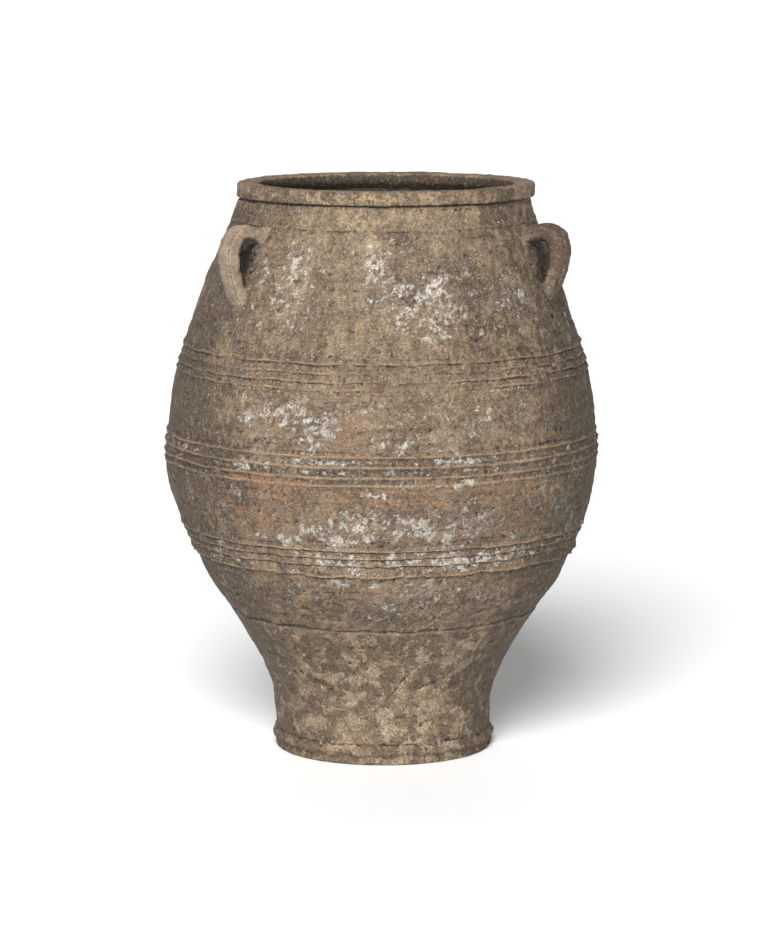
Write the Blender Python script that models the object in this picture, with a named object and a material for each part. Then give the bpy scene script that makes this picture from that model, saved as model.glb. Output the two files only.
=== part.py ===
"""Storage jar: a wide-mouthed terracotta pithos, 0.95 m tall, with three strap handles.

The jar is built up from thrown sections, luted one on another. A strip of clay with four tooled
ridges covers each of the three joints of the belly, and the strap handles stand on the shoulder.
A closed loop of sealing wire hangs round the foot of the right handle and swings on it.

Metres, +Z up. The origin is the middle of the underside, and the front of the jar faces -Y.
"""

import math

import bmesh
import bpy
import numpy as np
from mathutils import Matrix, Vector

SEGMENTS = 48  # sides of every turned piece
GAP = 0.0003  # left between pieces that touch

# The outer wall from the top of the foot bead to the neck, as (height, radius)
WALL = (
    (0.034, 0.1810),
    (0.062, 0.1812),
    (0.104, 0.1882),
    (0.148, 0.2050),
    (0.192, 0.2290),
    (0.240, 0.2592),
    (0.290, 0.2930),
    (0.340, 0.3165),
    (0.410, 0.3455),
    (0.485, 0.3610),
    (0.554, 0.3574),
    (0.620, 0.3480),
    (0.700, 0.3255),
    (0.768, 0.3030),
    (0.834, 0.2767),
    (0.880, 0.2582),
    (0.923, 0.2420),
)
WALL_THICKNESS = 0.024
OUTLINE_STEP = 0.048  # between the points of a wall section's outline

# Heights of the joints between the thrown sections, from the foot up
FOOT_TOP = 0.034
FOOT_JOINT = 0.239
BELLY_JOINTS = (0.365, 0.516, 0.668)
SHOULDER_JOINT = 0.887
NECK_TOP = 0.923

BASE_RADIUS = 0.154
BASE_THICKNESS = 0.026
BASE_CHAMFER = 0.004
FOOT_RING_OUTLINE = (  # (height, radius): the rounded heel, the groove, the bead and its top
    (0.000, 0.1800),
    (0.003, 0.1825),
    (0.014, 0.1830),
    (0.019, 0.1872),
    (0.023, 0.1872),
    (0.029, 0.1835),
    (0.034, 0.1812),
)

RIM_RADIUS = 0.2475
RIM_TOP = 0.950
MOUTH_RADIUS = 0.212
RIM_ROUNDING = 0.004

# Each strip: bottom, top, and the heights of its ridges
BANDS = {
    "band_lower": (0.338, 0.394, (0.343, 0.362, 0.374, 0.387)),
    "band_middle": (0.488, 0.547, (0.494, 0.507, 0.523, 0.540)),
    "band_upper": (0.638, 0.692, (0.644, 0.657, 0.671, 0.6855)),
}
SEAT_DEPTH = 0.003  # how far a strip is pressed into the wall
RIDGE_HEIGHT = 0.0035
VALLEY_HEIGHT = 0.0005

# Round the jar from its front, towards +X
HANDLES = {"handle_left": -51.5, "handle_right": 65.5, "handle_back": 187.0}
# The middle of a strap, from inside the shoulder to inside it again, as (radius, height)
STRAP_LINE = (
    (0.240, 0.856),
    (0.265, 0.871),
    (0.291, 0.8795),
    (0.311, 0.872),
    (0.3190, 0.850),
    (0.3155, 0.824),
    (0.3070, 0.797),
    (0.2960, 0.773),
    (0.282, 0.748),
)
STRAP_STATIONS = 15
STRAP_WIDTH = 0.036
STRAP_THICKNESS = 0.027
ROOT_WIDTH = 1.25  # how many times wider the strap is at its roots
ROOT_THICKNESS = 0.72  # and how many times thinner

# Places on the shoulder are (across, lift, height): across is measured round the wall from the
# middle of the right handle, and lift is outwards from the wall
WIRE_DIAMETER = 0.0016
WIRE_STEP = 0.004
PIVOT = (0.0, 0.0025, 0.809)
CRIMP_CENTRE = (0.017, 0.0085, 0.744)
CRIMP_LENGTH = 0.0095
CRIMP_WIDTH = 0.0070
CRIMP_DEPTH = 0.0050
CRIMP_TILT = 30.0
CRIMP_CHAMFER = 0.0008
STRAND_SPACING = 0.0030
FRONT_STRAND = (
    (-0.004, 0.0065, 0.7575),
    (-0.022, 0.0050, 0.7740),
    (-0.028, 0.0040, 0.7900),
    (-0.027, 0.0030, 0.8000),
)
BEHIND_STRAP = ((-0.018, 0.0025, 0.808), PIVOT, (0.018, 0.0025, 0.808))
BACK_STRAND = (
    (0.025, 0.0060, 0.7990),
    (0.027, 0.0115, 0.7880),
    (0.026, 0.0110, 0.7620),
)
TAIL = ((0.0200, 0.0085, 0.7310), (0.0185, 0.0100, 0.7220))

CLAY = {  # linear colour of each piece's clay
    "base_disc": (0.16, 0.115, 0.080),
    "foot_ring": (0.27, 0.175, 0.105),
    "foot_wall": (0.22, 0.170, 0.120),
    "lower_belly": (0.15, 0.112, 0.080),
    "mid_belly": (0.20, 0.145, 0.102),
    "upper_belly": (0.17, 0.130, 0.098),
    "shoulder": (0.21, 0.163, 0.120),
    "neck": (0.20, 0.152, 0.110),
    "rim": (0.26, 0.195, 0.135),
    "band_lower": (0.25, 0.170, 0.110),
    "band_middle": (0.24, 0.175, 0.122),
    "band_upper": (0.22, 0.160, 0.112),
    "handle_left": (0.27, 0.210, 0.152),
    "handle_right": (0.20, 0.145, 0.100),
    "handle_back": (0.21, 0.160, 0.115),
}
CLAY_ROUGHNESS = 0.9
STEEL = (0.32, 0.32, 0.33)
BRIGHT_METAL = (0.62, 0.63, 0.66)


def clear_scene():
    for obj in list(bpy.data.objects):
        bpy.data.objects.remove(obj, do_unlink=True)


def finish(name, colour, roughness, metallic=0.0):
    """A material with one colour, named after the piece that it is for."""
    material = bpy.data.materials.new(name)
    material.use_nodes = True
    shader = material.node_tree.nodes["Principled BSDF"]
    shader.inputs["Base Color"].default_value = (*colour, 1.0)
    shader.inputs["Roughness"].default_value = roughness
    shader.inputs["Metallic"].default_value = metallic
    return material


def clay(name):
    return finish(name, CLAY[name], CLAY_ROUGHNESS)


def hermite(points, at):
    """The smooth curve through points (place, value) at one place."""
    place, value = np.array(points).T
    slope = np.gradient(value, place)
    i = int(np.clip(np.searchsorted(place, at) - 1, 0, len(place) - 2))
    span = place[i + 1] - place[i]
    t = (at - place[i]) / span
    rise = t * t * (3 - 2 * t)
    return float(
        (1 - rise) * value[i]
        + rise * value[i + 1]
        + t * (1 - t) ** 2 * span * slope[i]
        - t * t * (1 - t) * span * slope[i + 1]
    )


def wall_radius(height):
    return hermite(WALL, height)


def inner_radius(height):
    """The inner face of the wall, kept at one thickness square to the outer face."""
    reach = 0.002
    slope = (wall_radius(height + reach) - wall_radius(height - reach)) / (2 * reach)
    return wall_radius(height) - WALL_THICKNESS * math.hypot(1, slope)


def link(name, mesh, material):
    obj = bpy.data.objects.new(name, mesh)
    bpy.context.scene.collection.objects.link(obj)
    if not mesh.materials:
        mesh.materials.append(material)
    return obj


def mesh_from(bm, name, sharp_angle=40.0):
    bmesh.ops.recalc_face_normals(bm, faces=bm.faces)
    mesh = bpy.data.meshes.new(name)
    bm.to_mesh(mesh)
    bm.free()
    mesh.shade_smooth()
    mesh.set_sharp_from_angle(angle=math.radians(sharp_angle))
    return mesh


def turned(name, outline, material):
    """A ring turned round Z from a closed outline of (radius, height) points."""
    bm = bmesh.new()
    rings = []
    for step in range(SEGMENTS):
        turn = 2 * math.pi * step / SEGMENTS
        rings.append([bm.verts.new((r * math.cos(turn), r * math.sin(turn), z)) for r, z in outline])
    for step, ring in enumerate(rings):
        following = rings[(step + 1) % SEGMENTS]
        for i in range(len(outline)):
            j = (i + 1) % len(outline)
            bm.faces.new((ring[i], following[i], following[j], ring[j]))
    return link(name, mesh_from(bm, name), material)


def disc(name, radius, thickness, chamfer, material):
    """A round slab on the ground with its edges taken off."""
    bm = bmesh.new()
    bmesh.ops.create_cone(
        bm, cap_ends=True, segments=SEGMENTS, radius1=radius, radius2=radius, depth=thickness
    )
    bmesh.ops.translate(bm, verts=bm.verts, vec=(0, 0, thickness / 2))
    rims = [edge for edge in bm.edges if len({round(v.co.z, 6) for v in edge.verts}) == 1]
    bmesh.ops.bevel(bm, geom=rims, offset=chamfer, segments=1, affect="EDGES")
    return link(name, mesh_from(bm, name), material)


def wall_stretches(bottom, top):
    """Splits a section at the edges of the strips: (low, high, how deep it is cut back)."""
    edges = sorted(edge for low, high, _ in BANDS.values() for edge in (low, high))
    marks = [bottom, *[edge for edge in edges if bottom < edge < top], top]
    for low, high in zip(marks, marks[1:]):
        middle = (low + high) / 2
        seated = any(start < middle < end for start, end, _ in BANDS.values())
        yield low, high, SEAT_DEPTH if seated else 0.0


def evenly(low, high):
    return np.linspace(low, high, max(1, round((high - low) / OUTLINE_STEP)) + 1)


def wall_section(name, bottom, top):
    bottom += GAP / 2
    top -= GAP / 2
    outer = [
        (wall_radius(z) - depth, z)
        for low, high, depth in wall_stretches(bottom, top)
        for z in evenly(low, high)
    ]
    inner = [(inner_radius(z), z) for z in evenly(bottom, top)]
    return turned(name, outer + inner[::-1], clay(name))


def foot_ring():
    """The heel and bead round the base slab, under the foot wall."""
    outer = [(radius, height) for height, radius in FOOT_RING_OUTLINE]
    top_radius, top = outer[-1]
    outer[-1] = (top_radius, top - GAP / 2)
    inside = BASE_RADIUS + GAP
    return turned("foot_ring", outer + [(inside, top - GAP / 2), (inside, 0)], clay("foot_ring"))


def rim():
    """The thick flat-topped lip, which stands out over the neck."""
    bottom = NECK_TOP + GAP / 2
    inside = inner_radius(NECK_TOP)
    outline = [
        (RIM_RADIUS - RIM_ROUNDING / 2, bottom),
        (RIM_RADIUS, bottom + RIM_ROUNDING),
        (RIM_RADIUS, RIM_TOP - RIM_ROUNDING),
        (RIM_RADIUS - RIM_ROUNDING, RIM_TOP),
        (MOUTH_RADIUS + RIM_ROUNDING, RIM_TOP),
        (MOUTH_RADIUS, RIM_TOP - RIM_ROUNDING),
        (inside, bottom),
    ]
    return turned("rim", outline, clay("rim"))


def band(name):
    """A strip of clay with tooled ridges, pressed into the wall over a joint."""
    low, high, ridges = BANDS[name]
    joint = next(height for height in BELLY_JOINTS if low < height < high)
    bottom, top = low + GAP, high - GAP
    outer = [(wall_radius(bottom) + VALLEY_HEIGHT, bottom)]
    for ridge, above in zip(ridges, [*ridges[1:], None]):
        outer.append((wall_radius(ridge) + RIDGE_HEIGHT, ridge))
        if above:
            valley = (ridge + above) / 2
            outer.append((wall_radius(valley) + VALLEY_HEIGHT, valley))
    outer.append((wall_radius(top) + VALLEY_HEIGHT, top))
    seat = [(wall_radius(z) - SEAT_DEPTH + GAP, z) for z in (top, joint, bottom)]
    return turned(name, outer + seat, clay(name))


def wall_blank():
    """The filled outside of the shoulder and the neck, which cuts the roots of the handles."""
    low, high = BANDS["band_upper"][1], SHOULDER_JOINT
    heights = [*evenly(low, high), NECK_TOP]
    outline = [(wall_radius(z) + GAP, z) for z in heights]
    bm = bmesh.new()
    rings = []
    for radius, height in outline:
        turns = [2 * math.pi * step / SEGMENTS for step in range(SEGMENTS)]
        rings.append(
            [bm.verts.new((radius * math.cos(t), radius * math.sin(t), height)) for t in turns]
        )
    for lower, upper in zip(rings, rings[1:]):
        for i in range(SEGMENTS):
            j = (i + 1) % SEGMENTS
            bm.faces.new((lower[i], lower[j], upper[j], upper[i]))
    bm.faces.new(rings[0][::-1])
    bm.faces.new(rings[-1])
    blank = link("wall_blank", mesh_from(bm, "wall_blank"), None)
    blank.hide_render = True
    blank.display_type = "WIRE"
    return blank


def smooth_line(points, count):
    """Points at even steps along the smooth curve through the given ones."""
    points = np.array(points)
    chords = np.linalg.norm(np.diff(points, axis=0), axis=1)
    along = np.concatenate([[0.0], np.cumsum(chords)])
    places = np.linspace(0, along[-1], count)
    return [
        Vector([hermite(np.column_stack([along, column]), at) for column in points.T])
        for at in places
    ]


def rounded_section(width, thickness):
    """Twelve points round a rectangle with rounded corners: (across, outwards)."""
    rounding = 0.35 * min(width, thickness)
    points = []
    for corner in range(4):
        quarter = math.pi / 2 * corner
        across = (width / 2 - rounding) * (1 if corner in (0, 3) else -1)
        outwards = (thickness / 2 - rounding) * (1 if corner in (0, 1) else -1)
        for turn in (quarter, quarter + math.pi / 4, quarter + math.pi / 2):
            points.append(
                (across + rounding * math.cos(turn), outwards + rounding * math.sin(turn))
            )
    return points


def strap_mesh():
    """A strap handle at azimuth +X: a rounded strap swept along its line, wider at its roots."""
    line = smooth_line(STRAP_LINE, STRAP_STATIONS)
    bm = bmesh.new()
    rings = []
    for i, centre in enumerate(line):
        along = (line[min(i + 1, len(line) - 1)] - line[max(i - 1, 0)]).normalized()
        outwards = Vector((-along.y, along.x))
        from_middle = abs(2 * i / (len(line) - 1) - 1)
        width = STRAP_WIDTH * (1 + (ROOT_WIDTH - 1) * from_middle**4)
        thickness = STRAP_THICKNESS * (1 + (ROOT_THICKNESS - 1) * from_middle**2)
        ring = []
        for across, out in rounded_section(width, thickness):
            spot = centre + out * outwards
            ring.append(bm.verts.new((spot.x, across, spot.y)))
        rings.append(ring)
    for first, second in zip(rings, rings[1:]):
        for i in range(len(first)):
            j = (i + 1) % len(first)
            bm.faces.new((first[i], first[j], second[j], second[i]))
    bm.faces.new(rings[0])
    bm.faces.new(rings[-1])
    return mesh_from(bm, "strap")


def face_out(obj, azimuth):
    """Turns an object made along +X to an azimuth counted from the front of the jar."""
    obj.rotation_euler.z = math.radians(azimuth - 90)


def handles():
    blank = wall_blank()
    for name, azimuth in HANDLES.items():
        handle = link(name, strap_mesh(), clay(name))
        face_out(handle, azimuth)
        cut = handle.modifiers.new("wall", "BOOLEAN")
        cut.operation = "DIFFERENCE"
        cut.solver = "EXACT"
        cut.object = blank


def on_shoulder(across, lift, height):
    """A place on the shoulder in the frame of a handle made along +X."""
    radius = wall_radius(height) + lift
    turn = across / radius
    return Vector((radius * math.cos(turn), radius * math.sin(turn), height))


def crimp_frame():
    """The crimp's place in its handle's frame: its Z runs along the wires, and its Y across."""
    centre = on_shoulder(*CRIMP_CENTRE)
    turn = Matrix.Rotation(math.atan2(centre.y, centre.x), 4, "Z")
    tilt = Matrix.Rotation(math.radians(CRIMP_TILT), 4, "X")
    return Matrix.Translation(centre) @ turn @ tilt


def wire(name, route, pivot, material):
    """A round wire along the smooth curve through the route, with flat ends."""
    length = sum((b - a).length for a, b in zip(route, route[1:]))
    curve = bpy.data.curves.new(name, "CURVE")
    curve.dimensions = "3D"
    curve.bevel_depth = WIRE_DIAMETER / 2
    curve.bevel_resolution = 2
    curve.use_fill_caps = True
    spline = curve.splines.new("POLY")
    points = smooth_line(route, round(length / WIRE_STEP) + 1)
    spline.points.add(len(points) - 1)
    for point, spot in zip(spline.points, points):
        point.co = (*spot, 1)
    obj = bpy.data.objects.new(name, curve)
    bpy.context.scene.collection.objects.link(obj)
    curve.materials.append(material)
    hang(obj, pivot)


def hang(obj, pivot):
    """Puts a piece made in the handle's frame under the empty on the hinge's axis."""
    obj.parent = pivot
    obj.matrix_parent_inverse = Matrix.Translation(-on_shoulder(*PIVOT))


def crimp(pivot):
    """A ferrule squeezed flat over both ends of the loop and the start of the tail."""
    bm = bmesh.new()
    bmesh.ops.create_cone(bm, cap_ends=True, segments=12, radius1=0.5, radius2=0.5, depth=1)
    bmesh.ops.scale(bm, verts=bm.verts, vec=(CRIMP_DEPTH, CRIMP_WIDTH, CRIMP_LENGTH))
    mouths = [edge for edge in bm.edges if len({round(v.co.z, 6) for v in edge.verts}) == 1]
    bmesh.ops.bevel(bm, geom=mouths, offset=CRIMP_CHAMFER, segments=1, affect="EDGES")
    obj = link("seal_crimp", mesh_from(bm, "seal_crimp"), finish("seal_crimp", BRIGHT_METAL, 0.3, 1.0))
    obj.matrix_basis = crimp_frame()
    hang(obj, pivot)


def seal():
    pivot = bpy.data.objects.new("seal_pivot", None)
    bpy.context.scene.collection.objects.link(pivot)
    azimuth = math.radians(HANDLES["handle_right"] - 90)
    pivot.matrix_world = Matrix.Rotation(azimuth, 4, "Z") @ Matrix.Translation(on_shoulder(*PIVOT))

    crimp(pivot)
    frame = crimp_frame()
    mouth = CRIMP_LENGTH / 2 + GAP
    straight = mouth + 2 * WIRE_DIAMETER
    front = [frame @ Vector((0, -STRAND_SPACING / 2, z)) for z in (mouth, straight)]
    back = [frame @ Vector((0, STRAND_SPACING / 2, z)) for z in (straight, mouth)]
    over = [on_shoulder(*spot) for spot in FRONT_STRAND + BEHIND_STRAP + BACK_STRAND]
    wire("seal_wire", front + over + back, pivot, finish("seal_wire", STEEL, 0.45, 1.0))
    start = [frame @ Vector((0, 0, -z)) for z in (mouth, straight)]
    end = [on_shoulder(*spot) for spot in TAIL]
    wire("seal_tail", start + end, pivot, finish("seal_tail", STEEL, 0.45, 1.0))


def jar():
    disc("base_disc", BASE_RADIUS, BASE_THICKNESS, BASE_CHAMFER, clay("base_disc"))
    foot_ring()
    joints = (FOOT_TOP, FOOT_JOINT, *BELLY_JOINTS, SHOULDER_JOINT, NECK_TOP)
    sections = ("foot_wall", "lower_belly", "mid_belly", "upper_belly", "shoulder", "neck")
    for name, bottom, top in zip(sections, joints, joints[1:]):
        wall_section(name, bottom, top)
    rim()
    for name in BANDS:
        band(name)
    handles()


clear_scene()
jar()
seal()
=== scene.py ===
"""Visual model of the storage jar: weathered terracotta with lime crust, and its loop of sealing wire.

Every wall piece is cut from one fine turned surface, so the pieces meet edge to edge. The surface
carries the ridges, grooves, tool marks, pits and crust as real relief, and each vertex carries how
weathered the clay is there and how much painted shade it takes in hollows, under the rim and straps,
at the sides and inside. The materials turn that into colour, roughness and fine bump.
"""

import math
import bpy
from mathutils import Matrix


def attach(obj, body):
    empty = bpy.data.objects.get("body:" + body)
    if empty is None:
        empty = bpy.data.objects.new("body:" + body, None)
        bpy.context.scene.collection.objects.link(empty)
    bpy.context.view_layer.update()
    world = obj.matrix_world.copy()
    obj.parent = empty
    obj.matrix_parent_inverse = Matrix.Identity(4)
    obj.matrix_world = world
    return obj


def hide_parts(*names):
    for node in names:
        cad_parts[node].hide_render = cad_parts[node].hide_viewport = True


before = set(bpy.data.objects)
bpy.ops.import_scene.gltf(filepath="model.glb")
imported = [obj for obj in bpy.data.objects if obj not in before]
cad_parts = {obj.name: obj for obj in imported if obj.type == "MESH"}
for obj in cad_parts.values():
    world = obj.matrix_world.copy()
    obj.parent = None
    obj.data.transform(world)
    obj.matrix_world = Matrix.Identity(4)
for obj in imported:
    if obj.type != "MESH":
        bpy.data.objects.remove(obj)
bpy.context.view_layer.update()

from concurrent.futures import ThreadPoolExecutor

import bmesh
import bpy
import numpy as np
from mathutils import Matrix, Vector

scene = bpy.context.scene

# ---------------------------------------------------------------- the shape shared with the frame

WALL = (  # (height, radius)
    (0.034, 0.1810), (0.062, 0.1812), (0.104, 0.1882), (0.148, 0.2050), (0.192, 0.2290),
    (0.240, 0.2592), (0.290, 0.2930), (0.340, 0.3165), (0.410, 0.3455), (0.485, 0.3610),
    (0.554, 0.3574), (0.620, 0.3480), (0.700, 0.3255), (0.768, 0.3030), (0.834, 0.2767),
    (0.880, 0.2582), (0.923, 0.2420),
)
WALL_THICKNESS = 0.024
FOOT_TOP = 0.034
FOOT_JOINT = 0.239
BELLY_JOINTS = (0.365, 0.516, 0.668)
SHOULDER_JOINT = 0.887
NECK_LINE = 0.8898  # the groove tooled round the neck
NECK_TOP = 0.923
BASE_RADIUS = 0.154
BASE_THICKNESS = 0.026
SEAT_DEPTH = 0.0034
GAP = 0.0003
BANDS = {
    "band_lower": (0.338, 0.394),
    "band_middle": (0.488, 0.547),
    "band_upper": (0.638, 0.692),
}
STRAP_LINE = (  # the middle of a strap handle, as (radius, height)
    (0.240, 0.856), (0.265, 0.871), (0.291, 0.8795), (0.311, 0.872), (0.3190, 0.850),
    (0.3155, 0.824), (0.3070, 0.797), (0.2960, 0.773), (0.282, 0.748),
)
HANDLES = {  # azimuth, width, squareness, how far the arch and the foot are raised
    "handle_left": (-51.5, 0.0335, 3.6, 0.0040, -0.0030),
    "handle_right": (65.5, 0.0380, 2.6, 0.0010, -0.0010),
    "handle_back": (187.0, 0.0350, 3.0, 0.0020, 0.0000),
}
STRAP_HALVES = {  # (part of the way along, how thick outside the middle line, and inside it)
    "handle_left": (
        (0, 0.0120, 0.0120), (0.2, 0.0115, 0.0120), (0.4, 0.0125, 0.0135), (0.6, 0.0128, 0.0130),
        (0.8, 0.0115, 0.0115), (1, 0.0098, 0.0098),
    ),
    "handle_right": (
        (0, 0.0120, 0.0120), (0.15, 0.0112, 0.0125), (0.26, 0.0125, 0.0185), (0.38, 0.0137, 0.0222),
        (0.5, 0.0143, 0.0200), (0.62, 0.0143, 0.0175), (0.78, 0.0130, 0.0145), (1, 0.0102, 0.0102),
    ),
    "handle_back": (
        (0, 0.0120, 0.0120), (0.2, 0.0118, 0.0125), (0.4, 0.0130, 0.0155), (0.6, 0.0135, 0.0150),
        (0.8, 0.0120, 0.0125), (1, 0.0100, 0.0100),
    ),
}
PAINTED_SHADOW_UNDER_STRAPS = ((-54.5, 5.5), (69.5, 6.0), (187.0, 4.5))  # painted shadow on the wall behind each strap: (azimuth, half width in degrees)
STRAP_SHADOW_HEIGHT, STRAP_SHADOW_REACH = 0.831, 0.029
PAINTED_SHADE_GAINS = {"wall": 620, "strap": 380}  # how fast the painted shade deepens with depth, per metre

COLUMNS = 840

# ---------------------------------------------------------------- camera, light and floor

CAMERA_PLACE = (0.0, -6.27, 1.4307)
CAMERA_PITCH = 8.71
CAMERA_LENS = 145.1
CAMERA_SHIFT = -0.0028846  # the photo's framing, as a part of the picture's longer side
SKY_FADE = {"From Min": 0.09, "From Max": 0.26, "To Min": 1.0, "To Max": 0.12}

camera_data = bpy.data.cameras.new("camera")
camera_data.lens = CAMERA_LENS
camera_data.sensor_width = 36.0
camera_data.shift_x = CAMERA_SHIFT
camera_data.clip_end = 500.0
camera = bpy.data.objects.new("camera", camera_data)
camera.location = CAMERA_PLACE
camera.rotation_euler = (math.radians(90 - CAMERA_PITCH), 0, 0)
scene.collection.objects.link(camera)
scene.camera = camera


def sun(name, azimuth, elevation, strength, spread):
    """A soft studio light from far away. Azimuth is counted from the front towards +X."""
    light = bpy.data.lights.new(name, "SUN")
    light.energy = strength
    light.angle = math.radians(spread)
    obj = bpy.data.objects.new(name, light)
    a, e = math.radians(azimuth), math.radians(elevation)
    towards = Vector((math.sin(a) * math.cos(e), -math.cos(a) * math.cos(e), math.sin(e)))
    obj.rotation_euler = towards.to_track_quat("Z", "Y").to_euler()
    scene.collection.objects.link(obj)


sun("key", -9, 35, 4.75, 28)
sun("fill", 188, 42, 0.75, 70)

world = bpy.data.worlds.new("studio")
scene.world = world
world.use_nodes = True
sky = world.node_tree
background = sky.nodes["Background"]
direction = sky.nodes.new("ShaderNodeTexCoord")
split = sky.nodes.new("ShaderNodeSeparateXYZ")
fade = sky.nodes.new("ShaderNodeMapRange")
fade.interpolation_type = "SMOOTHSTEP"
for socket, value in SKY_FADE.items():
    fade.inputs[socket].default_value = value
sky.links.new(direction.outputs["Generated"], split.inputs[0])
sky.links.new(split.outputs["Z"], fade.inputs["Value"])
sky.links.new(fade.outputs[0], background.inputs["Color"])
scene.view_settings.view_transform = "Standard"

# ---------------------------------------------------------------- noise


TURNED = np.array([[0.36, 0.48, -0.80], [-0.80, 0.60, 0.0], [0.48, 0.64, 0.60]])  # turns each layer
EDGES = np.array(
    [[1, 1, 0], [-1, 1, 0], [1, -1, 0], [-1, -1, 0], [1, 0, 1], [-1, 0, 1], [1, 0, -1], [-1, 0, -1],
     [0, 1, 1], [0, -1, 1], [0, 1, -1], [0, -1, -1], [1, 1, 0], [-1, 1, 0], [0, -1, 1], [0, -1, -1]],
    np.float32,
)
NOISE_SPREAD = 0.27
WORKERS = 4


def gradient_noise(points, seed):
    """Smooth noise about 0, the same at the same place. Points are n x 3."""
    cell = np.floor(points)
    f = (points - cell).astype(np.float32)
    u = f * f * f * (f * (f * 6 - 15) + 10)
    c = cell.astype(np.int64).astype(np.uint32)
    hashed = [[(c[:, axis] + np.uint32(d)) * np.uint32(prime) for d in (0, 1)]
              for axis, prime in enumerate((374761393, 668265263, 2246822519))]
    salt = np.uint32((seed * 3266489917) % 4294967296)
    total = np.zeros(len(points), np.float32)
    for dx in (0, 1):
        wx = u[:, 0] if dx else 1 - u[:, 0]
        for dy in (0, 1):
            wy = wx * (u[:, 1] if dy else 1 - u[:, 1])
            for dz in (0, 1):
                mixed = hashed[0][dx] + hashed[1][dy] + hashed[2][dz] + salt
                mixed = (mixed ^ (mixed >> np.uint32(13))) * np.uint32(1274126177)
                mixed = (mixed ^ (mixed >> np.uint32(16))) * np.uint32(2654435761)
                edge = EDGES[(mixed >> np.uint32(24)) & np.uint32(15)]
                dot = edge[:, 0] * (f[:, 0] - dx) + edge[:, 1] * (f[:, 1] - dy) + edge[:, 2] * (f[:, 2] - dz)
                total += wy * (u[:, 2] if dz else 1 - u[:, 2]) * dot
    return total


def fractal(points, size, seed, octaves=3, gain=0.55, stretch=(1, 1, 1)):
    """Layered noise with mean 0 and a spread of 1. Size is that of its largest features, in metres."""
    flat = points.reshape(-1, 3)

    def layered(part):
        scaled = part * 1.6 / (size * np.array(stretch)) + (17.31 * seed) % 97
        total = 0
        for octave in range(octaves):
            total = total + gain**octave * gradient_noise(scaled, seed + 977 * octave)
            scaled = (scaled @ TURNED) * 2.03 + 5.7
        return total

    with ThreadPoolExecutor(WORKERS) as pool:
        total = np.concatenate(list(pool.map(layered, np.array_split(flat, WORKERS))))
    power = sum(gain ** (2 * octave) for octave in range(octaves))
    return (total / (NOISE_SPREAD * math.sqrt(power))).reshape(points.shape[:-1])


def step(value, low, high):
    t = np.clip((value - low) / (high - low), 0, 1)
    return t * t * (3 - 2 * t)


# ---------------------------------------------------------------- the turned surface


def hermite(points, at):
    """The smooth curve through points (place, value)."""
    place, value = np.array(points).T
    slope = np.gradient(value, place)
    at = np.asarray(at, float)
    i = np.clip(np.searchsorted(place, at) - 1, 0, len(place) - 2)
    span = place[i + 1] - place[i]
    t = (at - place[i]) / span
    rise = t * t * (3 - 2 * t)
    return (
        (1 - rise) * value[i]
        + rise * value[i + 1]
        + t * (1 - t) ** 2 * span * slope[i]
        - t * t * (1 - t) * span * slope[i + 1]
    )


def distances(points):
    """How far along a line each of its points is."""
    return np.concatenate([[0.0], np.cumsum(np.linalg.norm(np.diff(points, axis=0), axis=1))])


def directions(points):
    """Unit directions along a line at each of its points."""
    along = np.gradient(points, axis=0)
    return along / np.linalg.norm(along, axis=1, keepdims=True)


def squared_off(wave, power):
    """A sine or cosine made squarer by a power below 1, which keeps its sign."""
    return np.sign(wave) * np.abs(wave) ** power


def wall_radius(height):
    return hermite(WALL, height)


def wall_slope(height):
    return (wall_radius(height + 0.002) - wall_radius(height - 0.002)) / 0.004


# How far the middle of the jar stands off its axis, at each height: (height, towards +X)
LEAN = (
    (0.0, 0.0012), (0.07, 0.0), (0.14, 0.0018), (0.23, 0.0012), (0.29, 0.0030), (0.36, 0.0018),
    (0.39, 0.0), (0.47, -0.0023), (0.60, -0.0016), (0.75, -0.0008), (0.85, 0.0010),
    (0.908, 0.0033), (0.938, 0.0060), (0.96, 0.0060),
)


def settle(points):
    """Moves points sideways with the middle of the jar, which isn't quite straight."""
    height = points[..., 2]
    places, shifts = np.array(LEAN).T
    moved = points.copy()
    moved[..., 0] += np.interp(height, places, shifts)
    moved[..., 1] += 0.0012 * np.sin(9.0 * height + 0.7)
    front = -points[..., 1] / np.maximum(np.hypot(points[..., 0], points[..., 1]), 1e-6)
    moved[..., 2] += (0.0022 + 0.0016 * front) * step(height, 0.900, 0.930)
    return moved


def azimuth_of(points):
    """Degrees round the jar from its front, towards +X."""
    return np.degrees(np.arctan2(points[..., 0], -points[..., 1]))


def apart(azimuth, centre):
    return (azimuth - centre + 180) % 360 - 180


def line_profile(distance, width):
    return np.exp(-((distance / width) ** 2))


def lip(above, height, run, undercut):
    """A step that stands out most at its lower edge, and fades upwards over a run."""
    return height * np.where(
        above >= 0,
        np.clip(1 - above / run, 0, 1) ** 1.4,
        np.exp(-((above / undercut) ** 2)) * 0.9,
    )


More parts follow.
